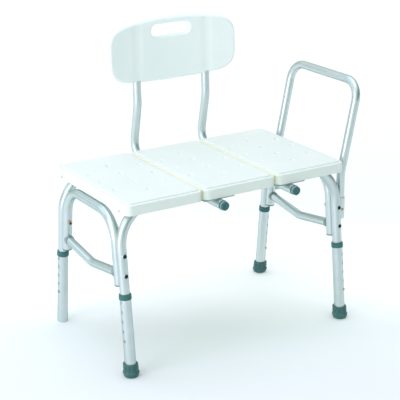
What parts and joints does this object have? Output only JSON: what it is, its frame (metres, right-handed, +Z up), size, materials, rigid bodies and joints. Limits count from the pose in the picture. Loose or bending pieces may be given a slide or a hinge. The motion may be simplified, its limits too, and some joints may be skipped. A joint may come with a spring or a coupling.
{
  "type": "bath transfer bench",
  "caption": "Bath transfer bench with a three-panel moulded seat, splayed telescopic tube legs, a side arm rail and a plug-in curved backrest.",
  "frame": {"origin": "on the floor under the middle of the bounding box", "axes": "+Z up, +X along the seat towards the arm rail, +Y towards the backrest"},
  "size_m": [0.7672, 0.4742, 0.8017],
  "materials": {
    "white_plastic": "fine satin moulded texture",
    "tube_aluminium": "satin anodised",
    "dark_plastic": "matte",
    "grey_plastic": "satin",
    "rubber_grey": "matte",
    "brass": "plain",
    "dark_steel": "black coated",
    "zinc_steel": "zinc plated"
  },
  "bodies": {
    "bench_frame": {"seat_panel_left": "white_plastic", "seat_panel_middle": "white_plastic", "seat_panel_right": "white_plastic", "seat_end_screw_left_front": "zinc_steel", "seat_end_screw_left_rear": "zinc_steel", "seat_end_screw_right_front": "zinc_steel", "seat_end_screw_right_rear": "zinc_steel", "front_leg_frame": "tube_aluminium", "rear_leg_frame": "tube_aluminium", "left_end_frame": "tube_aluminium", "end_frame_plug_left_front": "dark_plastic", "end_frame_plug_left_rear": "dark_plastic", "right_end_frame": "tube_aluminium", "end_frame_plug_right_front": "dark_plastic", "end_frame_plug_right_rear": "dark_plastic", "left_brace": "tube_aluminium", "brace_saddle_left_front": "grey_plastic", "frame_bolt_lower_left_front": "dark_steel", "frame_bolt_upper_left_front": "dark_steel", "brace_saddle_left_rear": "grey_plastic", "frame_bolt_lower_left_rear": "dark_steel", "frame_bolt_upper_left_rear": "dark_steel", "right_brace": "tube_aluminium", "brace_saddle_right_front": "grey_plastic", "frame_bolt_lower_right_front": "dark_steel", "frame_bolt_upper_right_front": "dark_steel", "brace_saddle_right_rear": "grey_plastic", "frame_bolt_lower_right_rear": "dark_steel", "frame_bolt_upper_right_rear": "dark_steel", "arm_rail_sleeve_front": "tube_aluminium", "arm_rail_sleeve_rear": "tube_aluminium", "backrest_receiver_left": "tube_aluminium", "receiver_cap_left": "dark_plastic", "receiver_bushing_left": "dark_plastic", "backrest_receiver_right": "tube_aluminium", "receiver_cap_right": "dark_plastic", "receiver_bushing_right": "dark_plastic"},
    "leg_front_left": {"lower_leg_front_left": "tube_aluminium", "leg_collar_front_left": "dark_plastic", "rubber_tip_front_left": "rubber_grey"},
    "leg_button_front_left": {"leg_snap_button_front_left": "brass"},
    "leg_front_right": {"lower_leg_front_right": "tube_aluminium", "leg_collar_front_right": "dark_plastic", "rubber_tip_front_right": "rubber_grey"},
    "leg_button_front_right": {"leg_snap_button_front_right": "brass"},
    "leg_rear_left": {"lower_leg_rear_left": "tube_aluminium", "leg_collar_rear_left": "dark_plastic"},
    "leg_button_rear_left": {"leg_snap_button_rear_left": "brass"},
    "leg_rear_right": {"lower_leg_rear_right": "tube_aluminium", "leg_collar_rear_right": "dark_plastic", "rubber_tip_rear_right": "rubber_grey"},
    "leg_button_rear_right": {"leg_snap_button_rear_right": "brass"},
    "arm_rail_assembly": {"arm_rail": "tube_aluminium"},
    "arm_button_front": {"arm_rail_snap_button_front": "brass"},
    "arm_button_rear": {"arm_rail_snap_button_rear": "brass"},
    "backrest": {"backrest_panel": "white_plastic", "backrest_tube_left": "tube_aluminium", "backrest_tube_right": "tube_aluminium"},
    "backrest_button_left": {"backrest_snap_button_left": "brass"},
    "backrest_button_right": {"backrest_snap_button_right": "brass"}
  },
  "joints": [
    {"name": "extend_leg_front_left", "type": "slide", "parent": "bench_frame", "child": "leg_front_left", "axis": [0, -0.1044, -0.9945], "range_m": [0, 0.1016], "deforming": ["leg_snap_button_front_left"]},
    {"name": "press_leg_button_front_left", "type": "slide", "parent": "bench_frame", "child": "leg_button_front_left", "axis": [0.9781, 0.2068, -0.0217], "range_m": [0, 0.004], "stiffness_N_per_m": 1500},
    {"name": "extend_leg_front_right", "type": "slide", "parent": "bench_frame", "child": "leg_front_right", "axis": [0, -0.1044, -0.9945], "range_m": [0, 0.1016], "deforming": ["leg_snap_button_front_right"]},
    {"name": "press_leg_button_front_right", "type": "slide", "parent": "bench_frame", "child": "leg_button_front_right", "axis": [-0.5592, 0.8245, -0.0866], "range_m": [0, 0.004], "stiffness_N_per_m": 1500},
    {"name": "extend_leg_rear_left", "type": "slide", "parent": "bench_frame", "child": "leg_rear_left", "axis": [0, 0.1044, -0.9945], "range_m": [0, 0.1016], "deforming": ["leg_snap_button_rear_left"]},
    {"name": "press_leg_button_rear_left", "type": "slide", "parent": "bench_frame", "child": "leg_button_rear_left", "axis": [0.9781, 0.2068, 0.0217], "range_m": [0, 0.004], "stiffness_N_per_m": 1500},
    {"name": "extend_leg_rear_right", "type": "slide", "parent": "bench_frame", "child": "leg_rear_right", "axis": [0, 0.1044, -0.9945], "range_m": [0, 0.1016], "deforming": ["leg_snap_button_rear_right"]},
    {"name": "press_leg_button_rear_right", "type": "slide", "parent": "bench_frame", "child": "leg_button_rear_right", "axis": [-0.5592, 0.8245, 0.0866], "range_m": [0, 0.004], "stiffness_N_per_m": 1500},
    {"name": "lift_arm_rail", "type": "slide", "parent": "bench_frame", "child": "arm_rail_assembly", "axis": [0, 0, 1], "range_m": [0, 0.07], "deforming": ["arm_rail_snap_button_front", "arm_rail_snap_button_rear"]},
    {"name": "press_arm_button_front", "type": "slide", "parent": "arm_rail_assembly", "child": "arm_button_front", "axis": [0, 1, 0], "range_m": [0, 0.004], "stiffness_N_per_m": 1500},
    {"name": "press_arm_button_rear", "type": "slide", "parent": "arm_rail_assembly", "child": "arm_button_rear", "axis": [0, -1, 0], "range_m": [0, 0.004], "stiffness_N_per_m": 1500},
    {"name": "pull_out_backrest", "type": "slide", "parent": "bench_frame", "child": "backrest", "axis": [0, 1, 0], "range_m": [0, 0.34], "deforming": ["backrest_snap_button_left", "backrest_snap_button_right"]},
    {"name": "press_backrest_button_left", "type": "slide", "parent": "backrest", "child": "backrest_button_left", "axis": [0, 0, 1], "range_m": [0, 0.004], "stiffness_N_per_m": 1500},
    {"name": "press_backrest_button_right", "type": "slide", "parent": "backrest", "child": "backrest_button_right", "axis": [0, 0, 1], "range_m": [0, 0.004], "stiffness_N_per_m": 1500}
  ]
}
